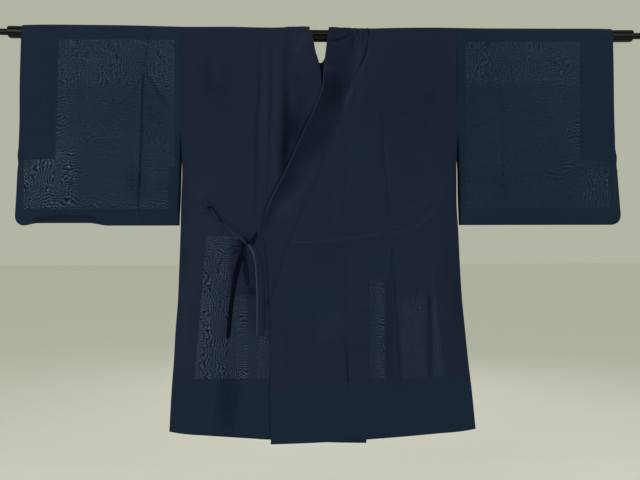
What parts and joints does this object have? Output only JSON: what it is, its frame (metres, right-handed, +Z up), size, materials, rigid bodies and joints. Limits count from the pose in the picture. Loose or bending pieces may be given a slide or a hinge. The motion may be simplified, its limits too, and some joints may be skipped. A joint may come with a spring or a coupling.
{
  "type": "kimono coat on a rod",
  "caption": "Sheer dark kimono coat with wide sleeves, crossed fronts, collar band and side tie, hanging flat on a round rod passed through the sleeves.",
  "frame": {"origin": "on the rod's axis at the middle of the garment, between its two cuffs", "axes": "+X towards the wearer's left side, along the rod; +Y towards the back of the coat; +Z up"},
  "size_m": [1.5176, 0.045, 0.9274],
  "materials": {
    "gauze": "sheer navy leno gauze, matt with a faint sheen, doubled at hem and cuffs",
    "lining": "thin navy lining, matt",
    "tie": "navy gauze tie, folded flat, matt",
    "rod": "glossy black lacquer"
  },
  "bodies": {
    "root": {"body_right": "gauze", "body_left": "gauze", "okumi_right": "gauze", "okumi_left": "gauze", "collar": "gauze", "sleeve_right": "gauze", "sleeve_left": "gauze", "cuff_facing_right": "lining", "cuff_facing_left": "lining", "shoulder_lining_right": "lining", "shoulder_lining_left": "lining", "tie_right": "tie", "tie_left": "tie", "tie_knot": "tie", "tie_tail_right": "tie", "tie_tail_left": "tie", "tie_loop": "tie", "rod_tube": "rod", "rod_end_right": "rod", "rod_end_left": "rod"}
  },
  "joints": []
}
